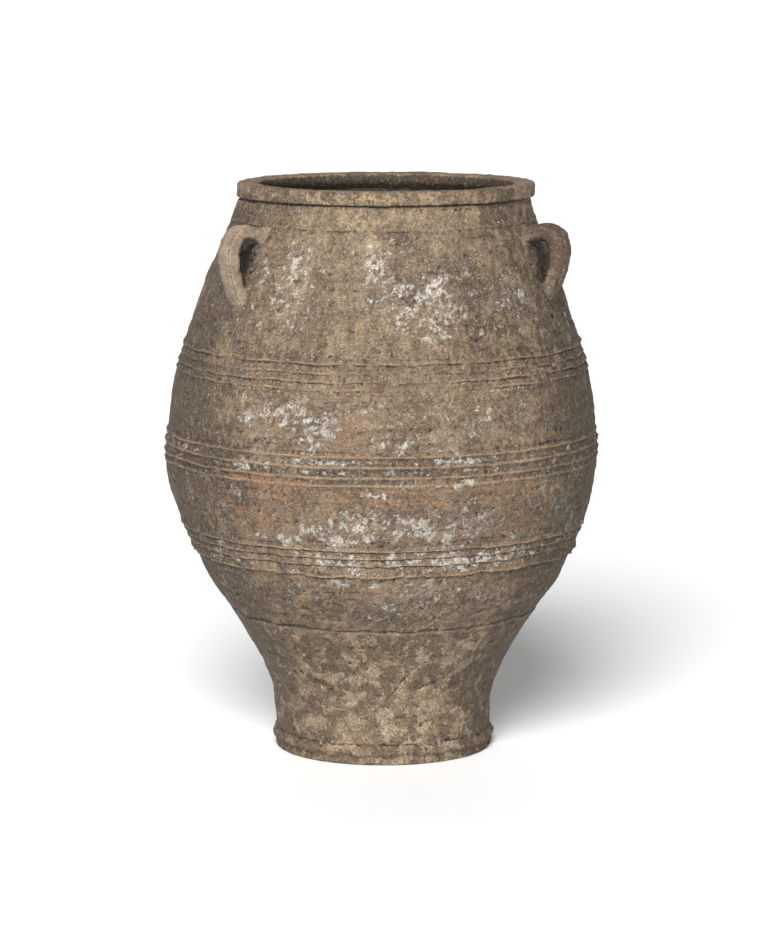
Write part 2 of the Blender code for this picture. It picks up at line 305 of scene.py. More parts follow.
def bands_relief(z, azimuth, spots):
    """How far the three strips stand out from the wall, in metres, and how worn their crests are."""
    wave = fractal(spots, 0.09, 31, 2)
    ragged = fractal(spots, 0.012, 32, 3)
    wear = fractal(spots, 0.05, 33, 3)
    worn = fractal(spots, 0.09, 34, 3)
    out = np.zeros_like(z)
    crest = np.zeros_like(z)

    # The lowest strip: four clapboard steps, each with a dark line under its lip
    for place, height, run, waviness in (
        (0.387, 0.0030, 0.010, 0.0005), (0.3745, 0.0029, 0.011, 0.0006),
        (0.362, 0.0030, 0.012, 0.0007), (0.3435, 0.0052, 0.017, 0.0013),
    ):
        above = z - place - waviness * wave - 0.00025 * ragged
        strength = np.clip(1 + 0.18 * wear, 0.4, 1.4)
        out += lip(above, height, run, 0.0009) * strength
        crest += line_profile(above - 0.0015, 0.0021) * strength * np.clip(0.7 + 0.4 * worn, 0, 1.2)
    # The middle strip: thin sharp crests with hollows between them
    for place, height, width in (
        (0.541, 0.0034, 0.0030), (0.5245, 0.0042, 0.0034), (0.508, 0.0038, 0.0032), (0.4955, 0.0030, 0.0030),
    ):
        above = z - place - 0.0005 * wave - 0.0001 * ragged
        strength = np.clip(1 + 0.15 * wear - 0.25 * step(azimuth, 25, 70), 0.4, 1.3)
        out += height * np.exp(-np.abs(above / width) ** 1.3) * strength
        crest += line_profile(above - 0.0004, 0.0026) * strength * np.clip(0.9 + 0.2 * worn, 0, 1.2)
    # The upper strip: low worn steps, deeper at the sides than at the front
    front = np.exp(-(((azimuth - 5) / 38) ** 2))
    for place, height, run in (
        (0.6855, 0.0032, 0.013), (0.671, 0.0018, 0.010), (0.6575, 0.0031, 0.012), (0.645, 0.0020, 0.010),
    ):
        above = z - place - 0.0007 * wave - 0.0002 * ragged
        strength = np.clip(1 - 0.42 * front + 0.30 * wear, 0.08, 1.4)
        out += lip(above, height, run, 0.0010) * strength
        crest += 0.9 * line_profile(above - 0.001, 0.0018) * strength * np.clip(0.6 + 0.5 * worn, 0, 1.2)
    return out, crest


# Scratches and tool marks: (azimuth and height of one end, of the other, depth, width)
SCRATCHES = (
    (0.5, 0.108, 13.0, 0.172, 0.0013, 0.0022),
    (-40.0, 0.158, -18.0, 0.112, 0.0008, 0.0018),
    (-34.0, 0.135, -14.0, 0.088, 0.0006, 0.0016),
    (14.0, 0.128, 33.0, 0.152, 0.0009, 0.0024),
    (17.0, 0.055, 24.0, 0.078, 0.0009, 0.0018),
    (16.0, 0.077, 22.0, 0.062, 0.0006, 0.0014),
    (33.0, 0.182, 56.0, 0.214, 0.0008, 0.0018),
    (30.0, 0.262, 55.0, 0.298, 0.0007, 0.0018),
    (-62.0, 0.106, -44.0, 0.124, 0.0007, 0.0018),
    (-70.0, 0.122, -50.0, 0.113, 0.0007, 0.0016),
    (96.0, 0.140, 121.0, 0.098, 0.0009, 0.0020),
    (150.0, 0.196, 166.0, 0.120, 0.0009, 0.0020),
    (-150.0, 0.165, -128.0, 0.108, 0.0009, 0.0020),
    (-100.0, 0.280, -84.0, 0.252, 0.0007, 0.0018),
    (205.0, 0.300, 222.0, 0.262, 0.0007, 0.0018),
)
# Small holes: (azimuth, height, radius, depth)
HOLES = (
    (-33.5, 0.4455, 0.0024, 0.0034),
    (-35.2, 0.4395, 0.0014, 0.0020),
    (5.5, 0.2750, 0.0020, 0.0014),
    (-12.0, 0.6080, 0.0026, 0.0018),
    (112.0, 0.4700, 0.0026, 0.0028),
    (-128.0, 0.5700, 0.0024, 0.0026),
    (172.0, 0.4100, 0.0026, 0.0028),
    (64.3, 0.7430, 0.0046, 0.0046),
)


def across_wall(azimuth, z, centre, height):
    """The distances round the wall and up it from a place on it, in metres."""
    radius = wall_radius(np.clip(height, 0.034, 0.923))
    return np.radians(apart(azimuth, centre)) * radius, z - height


def handle_roots(azimuth, z):
    """Clay smeared on to the shoulder round the ends of each handle, in metres."""
    out = np.zeros_like(z)
    for centre, width, _, _, foot in HANDLES.values():
        side, up = across_wall(azimuth, z, centre, 0.868)
        out += 0.0020 * np.exp(-((side / (width * 0.60)) ** 4) - (up / 0.014) ** 2)
        side, up = across_wall(azimuth, z, centre, 0.781 + foot)
        reach = np.where(up < 0, 0.026, 0.011)
        narrow = width * (0.62 - 0.20 * step(-up, 0.004, 0.05))
        out += 0.0034 * np.exp(-((np.abs(side) / narrow) ** 3) - (up / reach) ** 2)
    return out


def jar_relief(spots, azimuth, z, upright):
    """How far the outer surface stands out from the turned shape, and the crests of the ridges.

    Upright is 1 on the walls and 0 on the flat top of the rim and under the foot.
    """
    ripple = fractal(spots, 0.024, 1, 2, 0.4, stretch=(9, 9, 1))
    slow = fractal(spots, 0.16, 2, 2)
    medium = fractal(spots, 0.045, 3, 3)
    small = fractal(spots, 0.011, 4, 3, 0.6)
    out = 0.0009 * slow + 0.00022 * ripple * upright + 0.00042 * medium + 0.00020 * small
    out += 0.0011 * np.cos(np.radians(2 * azimuth + 90 * z + 30)) * upright

    ridges, crest = bands_relief(z, azimuth, spots)
    out += ridges
    out += handle_roots(azimuth, z)

    wave = fractal(spots, 0.11, 5, 2)
    ragged = fractal(spots, 0.014, 6, 3)
    neck_line = z - NECK_LINE - 0.0006 * wave - 0.0002 * ragged
    depth = 0.0008 * np.clip(0.85 + 0.25 * fractal(spots, 0.06, 7, 2), 0.3, 1.2)
    out -= depth * line_profile(neck_line, 0.0016)
    out += 0.0006 * line_profile(neck_line - 0.004, 0.003)
    foot_line = z - 0.2400 - 0.0012 * wave - 0.0003 * ragged
    depth = 0.0016 * np.clip(0.8 + 0.5 * fractal(spots, 0.07, 8, 2), 0.1, 1.3)
    out -= depth * line_profile(foot_line, 0.0017)
    out += 0.0010 * np.exp(-np.clip(-foot_line, 0, None) / 0.012) * (foot_line < -0.0015)
    # Faint turning lines on the walls, each along part of the way round
    parts = [step(fractal(spots, 0.13, 301 + i, 2), -0.4, 0.6) for i in range(3)]
    for i, (place, depth, width) in enumerate((
        (0.585, 0.0004, 0.0012), (0.478, 0.0006, 0.0012), (0.466, 0.0005, 0.0012), (0.432, 0.0006, 0.0012),
        (0.421, 0.0005, 0.0012), (0.402, 0.0005, 0.0015), (0.902, 0.0004, 0.0012), (0.312, 0.0004, 0.0012),
        (0.100, 0.0005, 0.0015), (0.080, 0.0004, 0.0012), (0.724, 0.0003, 0.0012), (0.570, 0.0003, 0.0010),
    )):
        out -= depth * parts[i % 3] * line_profile(z - place - 0.0005 * wave, width)
    for a0, z0, a1, z1, depth, width in SCRATCHES:
        radius = wall_radius((z0 + z1) / 2)
        run = np.radians(apart(a1, a0)) * radius
        rise = z1 - z0
        length = math.hypot(run, rise)
        side, up = across_wall(azimuth, z, a0, z0)
        along = (side * run + up * rise) / length
        off = (side * rise - up * run) / length + 0.0005 * ragged
        ends = step(along, 0, 0.006) * (1 - step(along, length - 0.008, length))
        out -= depth * ends * line_profile(off, width) * np.clip(0.8 + 0.35 * ragged, 0.2, 1.4)
    pitted = step(fractal(spots, 0.011, 9, 3, 0.6), 2.1, 3.0) * step(fractal(spots, 0.12, 10, 2), -0.6, 1.0)
    out -= 0.0008 * pitted
    for centre, height, radius, depth in HOLES:
        side, up = across_wall(azimuth, z, centre, height)
        out -= depth * np.exp(-(((side**2 + up**2) / radius**2) ** 1.5))
    return out, crest


def outer_profile():
    """Places (radius, height) up the outside, over the rim and a little way down inside the mouth."""
    fine, coarse, lip_step = ((0.00105, 0.0027, 0.0016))
    marks = [FOOT_TOP, FOOT_JOINT, *sum(BANDS.values(), ()), SHOULDER_JOINT, NECK_TOP]
    rows = [(BASE_RADIUS + 0.001, 0.0), (0.1620, 0.0), (0.1700, 0.0), (0.1760, 0.0), (0.1790, 0.0001),
            (0.1805, 0.0005), (0.1817, 0.0012), (0.1824, 0.0022)]
    for z in np.linspace(0.0034, FOOT_TOP, 24)[:-1]:
        bead = 0.0046 * math.exp(-(((z - 0.0212) / 0.0056) ** 2)) - 0.0010 * line_profile(z - 0.0120, 0.0028)
        rows.append((0.1828 - 0.0016 * (z / FOOT_TOP) ** 2 + bead, z))
    rows[-1] = (0.1813, rows[-1][1])
    for low, high in zip(marks, marks[1:]):
        spacing = fine if (low, high) in BANDS.values() else 0.0016 if low == SHOULDER_JOINT else coarse
        for z in np.linspace(low, high, max(2, round((high - low) / spacing)) + 1)[:-1]:
            rows.append((float(wall_radius(z)), z))
    rows.append((float(wall_radius(NECK_TOP)), NECK_TOP))
    # The rim, as a thick lip that is rounder at its outer edges than at the mouth
    corners = ((0.2412, 0.9250), (0.2418, 0.9264), (0.2440, 0.9270), (0.2464, 0.9276), (0.2474, 0.9290),
               (0.2478, 0.9320), (0.2478, 0.9380), (0.2477, 0.9445), (0.2474, 0.9470), (0.2464, 0.9488),
               (0.2446, 0.9497), (0.2415, 0.9500), (0.2350, 0.9500), (0.2270, 0.9498), (0.2200, 0.9494),
               (0.2155, 0.9485), (0.2130, 0.9468), (0.2120, 0.9435), (0.2122, 0.9380), (0.2140, 0.9300),
               (0.2168, NECK_TOP))
    line = np.array([rows[-1], *corners])
    along = distances(line)
    places = np.linspace(0, along[-1], round(along[-1] / lip_step) + 1)[1:]
    for at in sorted(set(places) | set(along[1:7])):
        rows.append((float(np.interp(at, along, line[:, 0])), float(np.interp(at, along, line[:, 1]))))
    return np.array(rows)


def profile_normals(rows):
    """Unit (radius, height) directions square to the profile, pointing out of the clay."""
    tangent = np.gradient(rows, axis=0)
    normal = np.stack([tangent[:, 1], -tangent[:, 0]], axis=1)
    for _ in range(2):
        padded = np.pad(normal, ((1, 1), (0, 0)), mode="edge")
        normal = (padded[:-2] + 2 * padded[1:-1] + padded[2:]) / 4
    return normal / np.linalg.norm(normal, axis=1, keepdims=True)


TURNS = np.linspace(0, 2 * np.pi, COLUMNS, endpoint=False)


def turn_out(rows):
    """Places or directions (radius, height) turned round: rows x columns x 3. Column 0 is at the back."""
    radius, height = rows[:, :1], rows[:, 1:]
    return np.stack(
        [radius * -np.sin(TURNS), radius * np.cos(TURNS), height * np.ones_like(TURNS)], axis=-1
    )


def blurred(field, rounds):
    """The field smoothed along rows and columns of a closed turned grid."""
    for _ in range(rounds):
        field = (np.roll(field, 1, 1) + 2 * field + np.roll(field, -1, 1)) / 4
        padded = np.pad(field, ((1, 1), (0, 0)), mode="edge")
        field = (padded[:-2] + 2 * padded[1:-1] + padded[2:]) / 4
    return field


# ---------------------------------------------------------------- weathering

# Stains and crusts, placed one by one: (azimuth, height in mm, half width in degrees, half height in mm,
# strength in hundredths)
LIME = (
    (-31, 815, 9, 36, 34), (-38, 790, 5, 20, 20), (-27, 838, 4, 14, 22), (-2.5, 832, 3.5, 30, 40),
    (-5, 855, 4, 12, 30), (1, 790, 4, 26, 36), (15, 772, 8, 34, 34), (21, 745, 6, 18, 28),
    (12, 800, 8, 20, 26), (4, 750, 5, 14, 42), (10, 735, 7, 12, 28), (19, 800, 4, 18, 24),
    (40, 820, 8, 40, 20), (44, 770, 9, 30, 18), (-30, 800, 16, 50, 12), (-64, 778, 4, 26, 26),
    (-28, 606, 11, 18, 33), (-18, 588, 7, 18, 31), (2, 600, 6, 22, 26), (29, 608, 2.2, 10, 48),
    (40, 610, 12, 30, 16), (16, 580, 12, 30, 22), (-6, 570, 14, 34, 18), (-25, 530, 8, 10, 34),
    (17, 493, 7, 4.5, 55), (22, 499, 4, 3.5, 45), (-2, 484, 2.2, 6, 55), (8, 440, 24, 20, 24),
    (-18, 402, 9, 6, 55), (-8, 404, 5, 5, 42), (0, 415, 26, 22, 26), (15, 408, 7, 12, 22),
    (-5, 366, 40, 16, 30), (30, 368, 26, 14, 22), (-8, 330, 16, 10, 22), (14, 302, 12, 26, 30),
    (-20, 322, 12, 14, 16), (-5, 292, 8, 12, 20), (4, 70, 5, 12, 44), (8, 180, 5, 18, 22),
    (44, 282, 11, 5, 30), (57, 530, 4, 12, 20), (-60, 300, 3, 50, 22), (0, 532.5, 60, 3.5, 20),
    (0, 516.5, 60, 3.5, 22), (-35, 620, 20, 50, 8), (130, 800, 12, 50, 34), (-120, 760, 14, 45, 34),
    (160, 560, 12, 40, 30), (-150, 600, 14, 36, 32), (105, 420, 16, 30, 26), (-105, 410, 16, 30, 26),
    (180, 300, 16, 30, 26), (205, 790, 10, 40, 30), (230, 430, 14, 30, 26),
)
RAW_CLAY = (
    (18, 345.8, 36, 2.2, 42), (32, 388.8, 30, 1.8, 34), (5, 542, 30, 1.6, 16), (-8.5, 574, 4.2, 24, 62),
    (-8, 590, 3.4, 14, 25), (-29, 498, 7, 8, 62), (-25, 490, 6, 6, 50), (-36, 500, 7, 8, 36),
    (-16, 494, 5, 10, 20), (-32, 455, 20, 28, 26), (4, 487, 16, 4, 46), (0, 473, 16, 4, 44),
    (12, 466, 18, 4, 34), (34, 482, 9, 12, 40), (42, 478, 3, 18, 34), (-33, 425, 13, 14, 34),
    (72, 455, 7, 4, 46), (8, 640, 18, 3, 22), (20, 654.5, 10, 2.2, 40), (52, 662, 4, 4, 22),
    (26, 728, 3, 10, 16), (31, 870, 2.5, 14, 20), (0, 22, 40, 4, 24), (-16, 46, 8, 10, 22),
    (-52, 18, 20, 8, 20), (15, 58, 7, 10, 16), (48, 560, 10, 20, 14), (20, 590, 6, 18, 14),
    (-55, 22, 14, 6, 20), (10, 452, 10, 10, 20), (115, 500, 14, 14, 42), (-130, 470, 14, 12, 40),
    (165, 480, 12, 10, 36), (150, 200, 8, 24, 24), (-170, 590, 6, 30, 34), (-95, 560, 6, 20, 26),
)
DARK = (
    (-66, 780, 8, 50, 22), (-75, 640, 9, 60, 22), (-50, 580, 11, 36, 30), (-19, 602, 4, 10, 30),
    (72, 590, 13, 60, 42), (40, 800, 9, 70, 24), (-62, 600, 10, 50, 22), (66, 480, 12, 60, 30),
    (-60, 460, 13, 60, 50), (-57, 478, 12, 34, 60), (-68, 520, 16, 30, 30), (-66, 560, 12, 50, 26),
    (78, 480, 14, 70, 26), (-72, 380, 14, 30, 30), (-52, 520, 14, 18, 26), (9, 806, 5, 22, 34),
    (6, 780, 5, 14, 22), (-30, 300, 15, 30, 34), (-62, 300, 9, 40, 34), (9, 297, 3.6, 8, 62),
    (-10, 270, 14, 12, 18), (40, 290, 14, 36, 22), (62, 280, 12, 50, 38), (-54, 200, 12, 60, 48),
    (-30, 196, 14, 20, 26), (-34, 115, 7, 30, 34), (22, 146, 9, 16, 34), (45, 130, 14, 40, 30),
    (6, 205, 10, 10, 24), (68, 120, 14, 80, 30), (22, 446, 12, 16, 20), (5, 447, 6, 8, 26),
    (-45, 350, 12, 10, 20), (60, 360, 20, 24, 28), (-60, 900, 12, 14, 24), (-70, 935, 8, 12, 22),
    (40, 906, 14, 16, 18), (30, 776, 6, 60, 14), (48, 700, 20, 60, 16), (12, 534, 20, 6, 26),
    (0, 515, 30, 5, 34), (100, 640, 20, 80, 24), (-110, 620, 20, 70, 24), (140, 300, 24, 60, 30),
    (-140, 320, 24, 60, 30), (170, 700, 14, 40, 24), (-165, 180, 16, 60, 30), (120, 160, 16, 40, 30),
    (-90, 150, 14, 50, 30),
)
OCHRE = (  # pale yellowish deposit
    (-8, 900, 5, 18, 55), (-6, 870, 4, 16, 40), (-50, 902, 10, 10, 50), (10, 908, 22, 12, 30),
    (-30, 908, 18, 10, 20), (0, 938, 24, 10, 50), (-30, 938, 18, 8, 38), (-44, 885, 4, 12, 40),
    (42, 477, 2.2, 16, 55), (-29, 492, 4, 6, 50), (25, 80, 18, 28, 40), (5, 60, 20, 20, 24),
    (52, 200, 9, 30, 26), (12, 155, 20, 50, 22), (15, 225, 8, 14, 26), (-10, 110, 14, 50, 18),
    (120, 905, 14, 14, 40), (-110, 900, 16, 14, 40), (180, 120, 30, 50, 24), (-90, 90, 20, 40, 22),
    (100, 80, 20, 40, 22), (-14, 836, 2, 20, 22), (165, 930, 30, 14, 30),
)
RUST = (  # brown and reddish runs
    (-18, 800, 4.5, 75, 36), (-22, 740, 5, 40, 22), (28, 850, 3, 40, 44), (33, 812, 7, 28, 34),
    (28, 730, 3.5, 30, 34), (42, 880, 5, 12, 40), (46, 908, 4, 10, 46), (58, 560, 9, 50, 20),
    (64, 620, 7, 50, 20), (15, 710, 10, 24, 14), (8, 640, 24, 20, 16), (34, 935, 14, 12, 36),
    (-66, 420, 9, 30, 18), (-4, 470, 26, 24, 24), (40, 450, 16, 28, 24), (-30, 470, 14, 30, 26),
    (105, 820, 6, 70, 36), (-100, 800, 6, 70, 34), (150, 780, 5, 80, 34), (-150, 820, 6, 60, 36),
    (175, 600, 10, 50, 24), (-135, 450, 16, 30, 26), (125, 460, 16, 30, 26), (-72, 880, 5, 30, 30),
)


def weather(spots, crest, painted_shade, inside=0.0):
    """Per-vertex weathering and painted shade, each from 0 to 1: lime, raw clay, dark; ochre, painted shade,
    rust.
    """
    azimuth, z = azimuth_of(spots), spots[..., 2]
    warp_side = fractal(spots, 0.030, 41, 3)
    warp_up = fractal(spots, 0.024, 42, 3)
    broad = fractal(spots, 0.16, 43, 3)
    blotch = fractal(spots, 0.045, 44, 4, 0.6)
    fleck = fractal(spots, 0.012, 45, 3, 0.65)
    runs = fractal(spots, 0.022, 46, 3, stretch=(1, 1, 7))
    rings = fractal(spots, 0.010, 47, 3, stretch=(9, 9, 1))

    def placed(table, break_up, least=0.2, most=2.0, sideways=1.0):
        """The patches of a table, bent out of shape and broken up by noise."""
        total = np.zeros_like(z)
        for centre, height, wide, tall, strength in table:
            side = (apart(azimuth, centre) + sideways * warp_side * wide * 0.45) / wide
            tall = tall / 1000
            up = (z - height / 1000 + warp_up * tall * 0.45) / tall
            total += strength / 100 * np.exp(-(side * side + up * up))
        return total * np.clip(1 + break_up, least, most)

    lime = 0.10 + 0.030 * broad + 0.045 * blotch + 0.040 * fleck
    lime += 0.58 * placed(LIME, 0.40 * fleck + 0.30 * blotch, 0.1)
    lime += 0.07 * step(-np.abs(z - 0.44), -0.22, -0.02) * np.clip(0.6 + 0.5 * blotch, 0, 1.6)
    # Painted shade: less pale lime on both sides, from about 45° to 90° round from the front
    lime -= 0.05 * step(np.abs(azimuth), 45, 75) * (np.abs(azimuth) < 90)

    raw = 0.02 + 0.030 * blotch + 0.02 * fleck
    raw += placed(RAW_CLAY, 0.45 * blotch + 0.3 * fleck, 0.1)
    worn = step(fractal(spots, 0.055, 48, 3), -0.9, 0.9)
    raw += crest * (0.20 + 0.20 * worn)
    lime -= 0.45 * np.clip(raw - 0.1, 0, 1)

    dark = 0.12 + 0.07 * broad + 0.08 * blotch + 0.03 * fleck + 0.012 * rings
    dark += placed(DARK, 0.35 * blotch + 0.2 * fleck)
    dark += 0.07 * runs * step(z, 0.55, 0.70)
    # Painted shade darkens both sides, from about 34° to 112° round from the front, below the rim
    sides = step(np.abs(azimuth), 34, 66) * (1 - step(np.abs(azimuth), 88, 112))
    dark += 0.28 * sides * step(-z, -0.93, -0.90)
    # The valleys between the crests of the middle and lower strips are darker, as painted shade
    valley_shade = np.clip(1 - 1.6 * crest, 0, 1)
    dark += 0.22 * valley_shade * step(-np.abs(z - 0.5175), -0.0270, -0.0230)
    dark += 0.10 * valley_shade * step(-np.abs(z - 0.3650), -0.0260, -0.0220)

    ochre = 0.10 + 0.05 * broad + 0.06 * blotch + 0.04 * runs + 0.34 * crest
    ochre += placed(OCHRE, 0.45 * blotch + 0.3 * fleck)

    rust = 0.14 + 0.08 * broad + 0.06 * blotch + 0.07 * runs
    rust += placed(RUST, 0.35 * runs + 0.2 * fleck, sideways=0.6)

    # Plates of crust over the dark clay of the foot
    plates = fractal(spots, 0.040, 49, 5, 0.62)
    low = 1 - step(z, 0.22, 0.27)
    plated = step(plates, -0.15, 0.15)
    dark += low * 0.30 * (0.45 - plated)
    ochre += low * 0.22 * plated
    lime += low * 0.05 * step(plates, 0.3, 0.8)

    # The smooth top of the rim, and its mottled front
    top = step(z, 0.9475, 0.9492)
    raw += 0.17 * top
    ochre -= 0.12 * top
    lime -= 0.06 * top
    dark += (0.10 * blotch + 0.10 * fleck) * step(z, 0.925, 0.928) * (1 - top)

    # The inside is darker, a painted shade, with less lime and no bare clay
    lime -= 0.10 * inside
    raw *= 1 - inside
    dark += 0.60 * inside
    ochre -= 0.12 * inside
    fields = (lime, raw, dark, ochre, painted_shade, rust)
    return np.stack([np.clip(f, 0, 1) for f in fields], axis=-1).astype(np.float32)


# ---------------------------------------------------------------- meshes


def new_object(name, points, faces, smooth, fields, material, body, nodes):
    """A mesh piece that rides on a body. Fields are its six weathering and painted shade values at each
    vertex.
    """
    mesh = bpy.data.meshes.new(name)
    faces = np.asarray(faces, np.int32)
    sides = faces.shape[1]
    mesh.vertices.add(len(points))
    mesh.vertices.foreach_set("co", np.asarray(points, np.float32).ravel())
    mesh.loops.add(faces.size)
    mesh.loops.foreach_set("vertex_index", faces.ravel())
    mesh.polygons.add(len(faces))
    mesh.polygons.foreach_set("loop_start", np.arange(0, faces.size, sides, dtype=np.int32))
    mesh.polygons.foreach_set("use_smooth", np.asarray(smooth, bool))
    mesh.update(calc_edges=True)
    if fields is not None:
        # The crust layer holds lime, raw clay and dark, which also carries painted shade at the sides and
        # inside; the stain layer holds ochre, painted shade and rust
        for layer, picked in (("crust", (0, 1, 2)), ("stain", (3, 4, 5))):
            attribute = mesh.attributes.new(layer, "FLOAT_COLOR", "POINT")
            colours = np.ones((len(points), 4), np.float32)
            colours[:, :3] = fields[:, picked]
            attribute.data.foreach_set("color", colours.ravel())
    mesh.materials.append(material)
    obj = bpy.data.objects.new(name, mesh)
    scene.collection.objects.link(obj)
    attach(obj, body)
    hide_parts(*nodes)
    return obj


def sweep_faces(rings, around):
    """Quads between rings of points that follow each other, each ring closed on itself."""
    ring = np.arange(rings - 1)[:, None] * around
    column = np.arange(around)
    following = (column + 1) % around
    corners = (ring + column, ring + following, ring + around + following, ring + around + column)
    return np.stack(corners, axis=-1).reshape(-1, 4)


def capped_faces(rings, around):
    """Quads along a swept shape, and then those that close its two ends."""
    i = np.arange(around // 2 - 1)
    end = np.stack([i, around - 1 - i, around - 2 - i, i + 1], axis=1)
    return np.concatenate([sweep_faces(rings, around), end, (rings - 1) * around + end[:, ::-1]])


def ring_faces(count, flats):
    """Quads round a closed outline of rings, and which are smooth. Flats are rings with flat faces above."""
    faces = sweep_faces(count + 1, COLUMNS) % (count * COLUMNS)
    smooth = np.repeat([ring not in flats for ring in range(count)], COLUMNS)
    return faces, smooth


# The whole outside, displaced once
profile = outer_profile()
normals = profile_normals(profile)
plain = turn_out(profile)
azimuth = azimuth_of(plain)
z = plain[..., 2]
upright = np.clip(np.abs(normals[:, :1]), 0, 1) * np.ones_like(TURNS)
relief, crest = jar_relief(plain, azimuth, z, upright)
rim_rows = np.arange(len(profile)) >= np.argmax(profile[:, 1] >= NECK_TOP - 1e-9)
relief[rim_rows] *= 0.32
foot_rows = profile[:, 1] < FOOT_TOP
relief[foot_rows] = 0.8 * relief[foot_rows] * step(profile[foot_rows, 1], 0.0, 0.004)[:, None]
crumbs = fractal(plain, 0.016, 61, 3)
edge = step(profile[:, 1], 0.9395, 0.948)[:, None] * step(profile[:, 0], 0.236, 0.244)[:, None]
relief -= 0.0005 * edge * step(crumbs, 0.9, 1.9)
lump = fractal(plain, 0.03, 62, 3)
relief += 0.0007 * lump * ((profile[:, 1] < FOOT_TOP) & (profile[:, 1] > 0.004))[:, None]
relief += 0.00025 * lump * rim_rows[:, None] * (profile[:, 1] > NECK_TOP + 0.001)[:, None]
# Painted shade in the hollows of the relief, deeper where they are deeper
painted_shade = np.clip(0.5 + (blurred(relief, 5) - relief) * PAINTED_SHADE_GAINS["wall"], 0, 1)
# Painted shade under the rim, in the groove over the foot's bead and in the one under it
undercut = line_profile(profile[:, 1] - 0.9262, 0.0022) * (profile[:, 0] < 0.2470) * (profile[:, 0] > 0.23)
painted_shade = np.clip(painted_shade + 0.5 * undercut[:, None], 0, 1)
groove = 0.25 * line_profile(profile[:, 1] - 0.0325, 0.0022) * (profile[:, 0] > 0.17)
groove += 0.12 * line_profile(profile[:, 1] - 0.0118, 0.002)
painted_shade = np.clip(painted_shade + groove[:, None], 0, 1)
# The rim down inside the mouth, darkened by painted shade
mouth = step(-profile[:, 0], -0.2140, -0.2115) * (profile[:, 1] > 0.9)
mouth = np.maximum(mouth, 1.0 * ((profile[:, 1] > 0.9) & (profile[:, 0] < 0.2200) & (profile[:, 1] < 0.9455)))
mouth = mouth[:, None] * np.ones_like(TURNS)
painted_shade = np.clip(painted_shade + 0.42 * mouth * step(-profile[:, 1], -0.9440, -0.9260)[:, None], 0, 1)
# Painted shadow on the wall behind and under each strap
for centre, half in PAINTED_SHADOW_UNDER_STRAPS:
    strap_shadow = line_profile(apart(azimuth, centre), half) * line_profile(z - STRAP_SHADOW_HEIGHT, STRAP_SHADOW_REACH)
    painted_shade = np.clip(painted_shade + 0.62 * strap_shadow, 0, 1)
weathered = weather(plain, crest, painted_shade, inside=mouth)
outside = settle(plain + relief[..., None] * turn_out(normals))
outside[..., 2] = np.maximum(outside[..., 2], 0.0)


def row_at(height):
    """The row of the outer surface at a joint's height."""
    return int(np.argmax(np.abs(profile[:, 1] - height) < 1e-6))


def inner_surface():
    """The inside, with the broad rings that the potter's fingers left."""
    spacing = 0.009
    marks = (FOOT_TOP, FOOT_JOINT, *BELLY_JOINTS, SHOULDER_JOINT, NECK_TOP)
    rows = []
    for low, high in zip(marks, marks[1:]):
        rows += list(np.linspace(low, high, round((high - low) / spacing) + 1)[:-1])
    rows = np.array(rows + [NECK_TOP])
    radius = wall_radius(rows) - WALL_THICKNESS * np.hypot(1, wall_slope(rows))
    line = np.stack([radius, rows], axis=1)
    spots = turn_out(line)
    rings = 0.0011 * np.sin(2 * np.pi * spots[..., 2] / 0.031 + 0.8 * fractal(spots, 0.3, 51, 2))
    rings += 0.0006 * fractal(spots, 0.05, 52, 3)
    rings *= step(NECK_TOP - rows, 0.0, 0.02)[:, None]
    # Painted shade over the whole inside, deeper near the top
    painted_shade = 0.70 + 0.22 * step(spots[..., 2], 0.84, 0.88)
    fields = weather(spots, 0 * rings, painted_shade, inside=np.ones(rings.shape))
    return rows, settle(spots - rings[..., None] * turn_out(np.array([[1.0, 0.0]]))), fields


inner_rows, inside_points, inside_fields = inner_surface()
rim_end = len(profile) - 1
inside_points[-1] = outside[rim_end]
inside_fields[-1] = weathered[rim_end]


def inner_at(height):
    return int(np.argmin(np.abs(inner_rows - height)))


def seat_ring(height, lift=0.0):
    spots = turn_out(np.array([[float(wall_radius(height)) - SEAT_DEPTH + lift, height]]))
    return settle(spots)


def build(name, rings, fields, flats, material):
    """A wall piece: a closed outline of rings turned round the jar."""
    points = np.concatenate([r.reshape(-1, 3) for r in rings])
    values = np.concatenate([f.reshape(-1, 6) for f in fields])
    faces, smooth = ring_faces(len(points) // COLUMNS, flats)
    return new_object(name + "_clay", points, faces, smooth, values, material, "jar", (name,))


# ---------------------------------------------------------------- materials


